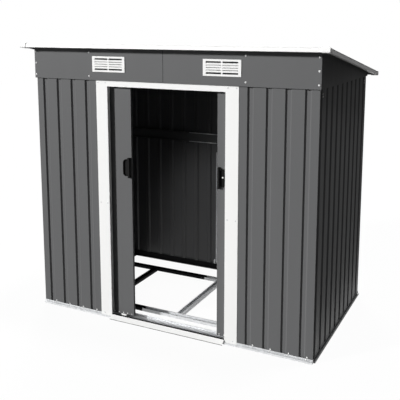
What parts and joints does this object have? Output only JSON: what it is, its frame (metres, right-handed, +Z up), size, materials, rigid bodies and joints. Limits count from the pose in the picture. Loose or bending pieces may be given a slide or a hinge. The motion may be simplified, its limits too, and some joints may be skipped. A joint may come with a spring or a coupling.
{
  "type": "metal storage shed",
  "caption": "Pent-roofed sheet steel storage shed with ribbed walls, louvre vents, an open floor frame and sliding doors.",
  "frame": {"origin": "on the ground under the middle of the roof's outline", "axes": "+X to the right seen from the doorway, +Y from the doorway to the rear wall, +Z up"},
  "size_m": [2.133, 1.3061, 1.8657],
  "materials": {
    "grey_paint": "satin",
    "white_paint": "satin",
    "zinc": "galvanised",
    "dark_steel": "satin",
    "white_plastic": "moulded",
    "black_plastic": "moulded"
  },
  "bodies": {
    "shed": {"front_base_rail": "zinc", "rear_base_rail": "grey_paint", "side_base_rails": "grey_paint", "door_ramp": "white_paint", "door_bottom_track": "zinc", "floor_beams_left": "dark_steel", "floor_beams_right": "zinc", "floor_cross_beams": "zinc", "front_wall_left": "grey_paint", "front_wall_right": "grey_paint", "left_wall": "grey_paint", "right_wall": "grey_paint", "rear_wall_left": "grey_paint", "rear_wall_right": "grey_paint", "corner_posts": "zinc", "mid_rails": "dark_steel", "rear_wall_strip": "zinc", "left_door_jamb": "white_paint", "right_door_jamb": "white_paint", "door_header": "white_paint", "door_top_track": "zinc", "front_top_rail": "grey_paint", "rear_top_rail": "grey_paint", "side_top_rails": "zinc", "left_fascia": "grey_paint", "right_fascia": "grey_paint", "left_vent": "white_plastic", "right_vent": "white_plastic", "left_gable": "grey_paint", "right_gable": "grey_paint", "roof_panel_left": "grey_paint", "roof_panel_middle": "grey_paint", "roof_panel_right": "grey_paint", "roof_beam": "zinc", "roof_trim_front": "white_paint", "roof_trim_rear": "white_paint", "roof_trim_left": "white_paint", "roof_trim_right": "white_paint", "roof_corner_caps": "white_plastic"},
    "left_door": {"left_door": "grey_paint", "left_door_braces": "zinc", "left_door_handle": "black_plastic", "left_door_glides": "white_plastic"},
    "right_door": {"right_door": "grey_paint", "right_door_braces": "zinc", "right_door_handle": "black_plastic", "right_door_glides": "white_plastic"}
  },
  "joints": [
    {"name": "left_door_slide", "type": "slide", "parent": "shed", "child": "left_door", "axis": [1, 0, 0], "range_m": [-0.087, 0.263]},
    {"name": "right_door_slide", "type": "slide", "parent": "shed", "child": "right_door", "axis": [-1, 0, 0], "range_m": [0, 0.35]}
  ]
}
